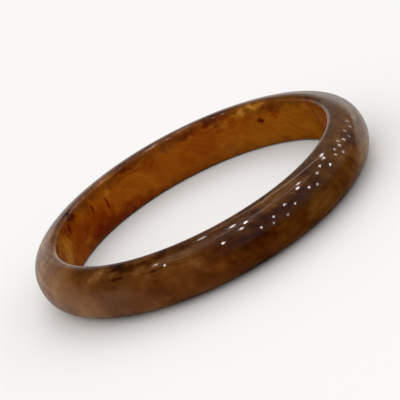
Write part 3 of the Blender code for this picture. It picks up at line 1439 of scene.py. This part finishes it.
@dataclass
class Studio:
    """A pale floor, soft white surroundings and a soft key from behind.

    The pairs ending in _span are where a change starts and ends: on the floor in
    metres, and in the surroundings along one axis of the direction looked in.
    """

    floor_size: float = 8.0
    floor_gap: float = 0.01 * MM
    floor_colour: Colour = (0.874, 0.880, 0.884)
    floor_roughness: float = 0.9
    floor_specular: float = 0.1
    floor_mirrored_right: float = 0.56
    floor_mirrored_left: float = 0.28
    floor_mirrored_far: float = 0.22
    floor_mirrored_inside: float = 0.05
    floor_slope: float = -0.55
    floor_right_span: tuple[float, float] = (-0.02, 0.03)
    floor_far_span: tuple[float, float] = (0.01, 0.10)
    floor_left_edge_span: tuple[float, float] = (-0.034, -0.004)
    floor_right_edge_span: tuple[float, float] = (-0.042, -0.026)
    floor_hoop_span: tuple[float, float] = (0.027, 0.033)
    floor_inside_span: tuple[float, float] = (-0.008, -0.02)
    sky_colour: Colour = (1.0, 0.98, 0.962)
    sky_low: float = 1.22
    sky_high: float = 0.96
    sky_span: tuple[float, float] = (0.0, 0.9)
    room_dark: float = 0.02
    room_right: float = 0.19
    room_span: tuple[float, float] = (-0.25, 0.25)
    ceiling: float = 0.37
    ceiling_span: tuple[float, float] = (0.88, 0.97)
    backdrop: float = 0.60
    backdrop_colour: Colour = (1.0, 0.97, 0.94)
    backdrop_left: float = 0.27
    backdrop_left_span: tuple[float, float] = (-0.85, 0.0)
    backdrop_top: float = 0.31
    backdrop_slope: float = -0.24
    backdrop_most: float = 0.42
    backdrop_drop: float = 0.2
    backdrop_drop_span: tuple[float, float] = (-0.85, -1.0)
    backdrop_soft: float = 0.06
    backdrop_soft_left: float = 0.17
    backdrop_soft_span: tuple[float, float] = (0.0, -0.4)
    backdrop_lean: float = -0.6
    backdrop_near_span: tuple[float, float] = (-0.02, 0.38)
    seen_colour: Colour = (1.0, 1.0, 1.0)
    seen_strength: float = 0.95
    key_colour: Colour = (1.0, 0.99, 0.98)
    key_strength: float = 0.38
    key_elevation: float = math.radians(42)
    key_clock: float = math.radians(165)
    key_softness: float = math.radians(30)
    exposure: float = 0.0

    def floor(self) -> bpy.types.Object:
        """Makes the floor that the bangle lies on.

        Returns:
            The floor.
        """
        half = self.floor_size / 2
        mesh = bpy.data.meshes.new("floor")
        ends = ((-half, -half), (half, -half), (half, half), (-half, half))
        mesh.from_pydata([(x, y, -self.floor_gap) for x, y in ends], [], [(0, 1, 2, 3)])
        made = bpy.data.objects.new("floor", mesh)
        bpy.context.scene.collection.objects.link(made)

        material = bpy.data.materials.new("pale_floor")
        material.use_nodes = True
        wiring = Wiring(material.node_tree)
        shader = material.node_tree.nodes["Principled BSDF"]
        # Glossy rays see the floor painted darker by place: painted shade in what the stone mirrors
        path = wiring.node("ShaderNodeLightPath")
        painted_glossy_floor = wiring.vector("SCALE", self.floor_colour, scale=self.mirrored_share(wiring))
        colour = wiring.blend(path.outputs["Is Glossy Ray"], rgba(self.floor_colour), painted_glossy_floor)
        wiring.feed(shader.inputs["Base Color"], colour)
        shader.inputs["Roughness"].default_value = self.floor_roughness
        shader.inputs["Specular IOR Level"].default_value = self.floor_specular
        mesh.materials.append(material)
        return made

    def mirrored_share(self, wiring: Wiring) -> Socket:
        """Builds how much of the floor the stone mirrors.

        Glossy rays see a painted floor: its own colour behind the bangle and beside it,
        and painted dark on the near side and inside the hoop, as painted shade in the
        stone's reflections.

        Args:
            wiring: The floor's material.

        Returns:
            The share at each place, from 0 to 1.
        """
        where = wiring.node("ShaderNodeTexCoord").outputs["Object"]
        spot = wiring.node("ShaderNodeSeparateXYZ", {0: where})
        x, y = spot.outputs[0], spot.outputs[1]
        beyond = wiring.math("MULTIPLY_ADD", x, self.floor_slope, y)
        right = wiring.ramp(x, *self.floor_right_span)
        left_most = self.floor_mirrored_left + self.floor_mirrored_far
        far_left = wiring.ramp(y, *self.floor_far_span, self.floor_mirrored_left, left_most)
        left_share = wiring.math("MULTIPLY", far_left, wiring.ramp(beyond, *self.floor_left_edge_span))
        right_edge = wiring.ramp(beyond, *self.floor_right_edge_span)
        right_share = wiring.math("MULTIPLY", self.floor_mirrored_right, right_edge)
        share = wiring.math("MULTIPLY", right_share, right)
        share = wiring.math("MULTIPLY_ADD", left_share, wiring.math("SUBTRACT", 1.0, right), share)
        outside = wiring.ramp(wiring.vector("LENGTH", where), *self.floor_hoop_span)
        share = wiring.math("MULTIPLY", share, outside)
        inside = wiring.ramp(x, *self.floor_inside_span, 0.0, self.floor_mirrored_inside)
        return wiring.math("ADD", share, inside)

    def mirrored_room(self, wiring: Wiring, parts: bpy.types.Node) -> Socket:
        """Builds what the gloss sees round the floor.

        It is a white backdrop behind the bangle, with a soft top that is higher to
        the left, and a dark room above it with a lit ceiling.

        Args:
            wiring: The world's tree.
            parts: The three parts of the direction looked in.

        Returns:
            The brightness in each direction.
        """
        x, y, z = parts.outputs
        top = wiring.math("MULTIPLY_ADD", x, self.backdrop_slope, self.backdrop_top)
        top = wiring.math("MINIMUM", top, self.backdrop_most)
        drop = wiring.ramp(x, *self.backdrop_drop_span, 0.0, self.backdrop_drop)
        top = wiring.math("SUBTRACT", top, drop)
        over = wiring.math("SUBTRACT", z, top)
        soft_edge = wiring.ramp(x, *self.backdrop_soft_span, self.backdrop_soft, self.backdrop_soft_left)
        shown = wiring.ramp(over, wiring.math("MULTIPLY", soft_edge, -1.0), soft_edge, 1.0, 0.0)
        beyond = wiring.math("MULTIPLY_ADD", x, self.backdrop_lean, y)
        shown = wiring.math("MULTIPLY", shown, wiring.ramp(beyond, *self.backdrop_near_span))
        white = wiring.ramp(x, *self.backdrop_left_span, self.backdrop_left, self.backdrop)
        room_low = wiring.ramp(x, *self.room_span, self.room_dark, self.room_right)
        room = wiring.ramp(z, *self.ceiling_span, room_low, self.ceiling)
        return wiring.math("MULTIPLY_ADD", shown, white, room)

    def surroundings(self) -> None:
        """Builds the world: soft light for the stone and the floor, and a mirrored room for the gloss."""
        world = bpy.data.worlds.new("studio")
        bpy.context.scene.world = world
        world.use_nodes = True
        wiring = Wiring(world.node_tree)
        world.node_tree.nodes.clear()
        way = wiring.node("ShaderNodeTexCoord").outputs["Generated"]
        parts = wiring.node("ShaderNodeSeparateXYZ", {0: way})
        path = wiring.node("ShaderNodeLightPath")

        sky = wiring.ramp(parts.outputs[2], *self.sky_span, self.sky_low, self.sky_high)
        soft = wiring.node("ShaderNodeBackground", {"Color": rgba(self.sky_colour), "Strength": sky})
        gloss = self.mirrored_room(wiring, parts)
        feeds = {"Color": rgba(self.backdrop_colour), "Strength": gloss}
        sharp = wiring.node("ShaderNodeBackground", feeds)
        mixed = wiring.node("ShaderNodeMixShader", {
            0: path.outputs["Is Glossy Ray"],
            1: soft.outputs[0],
            2: sharp.outputs[0],
        })
        feeds = {"Color": rgba(self.seen_colour), "Strength": self.seen_strength}
        seen = wiring.node("ShaderNodeBackground", feeds)
        final = wiring.node("ShaderNodeMixShader", {
            0: path.outputs["Is Camera Ray"],
            1: mixed.outputs[0],
            2: seen.outputs[0],
        })
        wiring.node("ShaderNodeOutputWorld", {"Surface": final.outputs[0]})

    def key(self) -> bpy.types.Object:
        """Makes the key, a soft sun behind the bangle that the gloss doesn't see.

        Returns:
            The key.
        """
        light = bpy.data.lights.new("key", "SUN")
        light.energy = self.key_strength
        light.angle = self.key_softness
        light.color = self.key_colour
        lamp = bpy.data.objects.new("key", light)
        level = math.cos(self.key_elevation)
        source = Vector((
            math.sin(self.key_clock) * level,
            -math.cos(self.key_clock) * level,
            math.sin(self.key_elevation),
        ))
        lamp.rotation_mode = "QUATERNION"
        lamp.rotation_quaternion = source.to_track_quat("Z", "Y")
        lamp.visible_glossy = False
        bpy.context.scene.collection.objects.link(lamp)
        return lamp

    def build(self) -> None:
        """Makes the floor, the world and the key, and sets the picture's tones."""
        self.floor()
        self.surroundings()
        self.key()
        view = bpy.context.scene.view_settings
        view.view_transform = "Standard"
        view.look = "None"
        view.exposure = self.exposure


def corners(box: tuple[Vector, Vector]) -> list[list[float]]:
    """Returns a box's lowest and highest corners as plain lists."""
    return [list(corner) for corner in box]


def main() -> None:
    """Builds the bangle, the studio and the camera."""
    logging.basicConfig(level=logging.INFO, format="%(name)s: %(message)s")
    low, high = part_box(HOOP_NODE)
    centre = (Vector(low) + Vector(high)) / 2
    radius = max(Hoop.radii())

    hoop = Hoop()
    hoop.build()
    studio = Studio()
    studio.build()
    viewpoint = Viewpoint()
    viewpoint.build(centre, radius)
    lamps = LampRows().build(viewpoint.place(centre, radius), centre, radius)
    log.info("studio: %d glint lamps", len(lamps))


if __name__ == "__main__":
    main()
